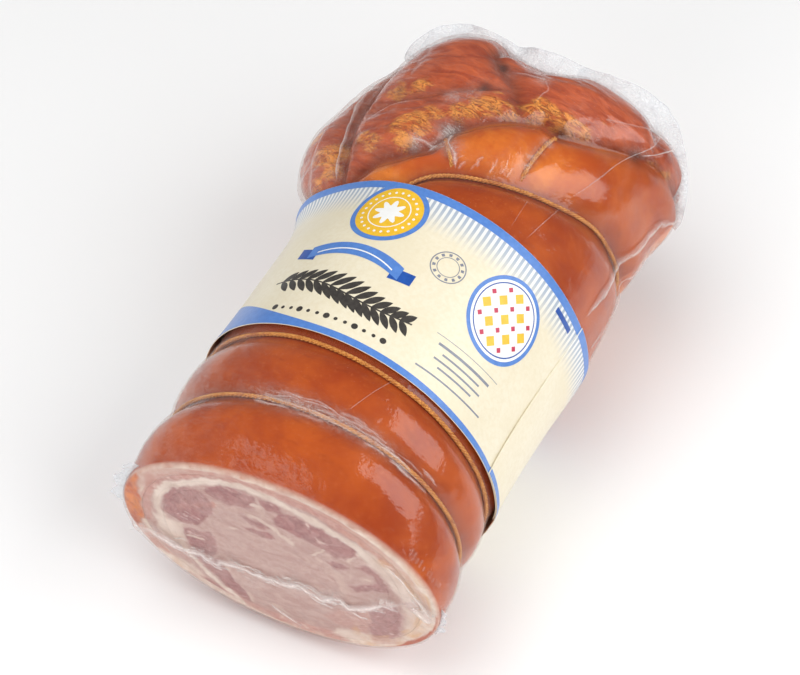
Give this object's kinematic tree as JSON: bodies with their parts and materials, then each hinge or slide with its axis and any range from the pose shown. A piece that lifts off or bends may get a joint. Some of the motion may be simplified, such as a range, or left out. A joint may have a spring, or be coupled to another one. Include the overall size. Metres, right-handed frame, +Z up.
{
  "type": "porchetta",
  "caption": "Half porchetta in clear shrink film: a tied roll of pork lying on its side, cut at one end and folded at the other, with a paper band round it.",
  "frame": {"origin": "on the surface the roll lies on, under the middle of its bounding box", "axes": "+Y along the roll from the cut end to the folded end, +X across it, +Z up"},
  "size_m": [0.201, 0.3247, 0.1645],
  "materials": {
    "rind": "browned rind under clear film",
    "lean": "moist cooked lean",
    "fat": "cream fat",
    "loin": "pale pink cooked loin",
    "twine": "browned cotton twine",
    "paper": "coated paper, printed in plain fields",
    "film": "clear shrink film"
  },
  "bodies": {
    "root": {"rolled_rind": "rind", "belly_lean": "lean", "seam_fat": "fat", "loin_core": "loin", "twine_ring_1": "twine", "twine_ring_2": "twine", "twine_ring_3": "twine", "twine_link_1": "twine", "twine_link_2": "twine", "paper_band": "paper", "film_seal_far": "film", "film_seal_near": "film", "film_fold_near": "film"}
  },
  "joints": []
}
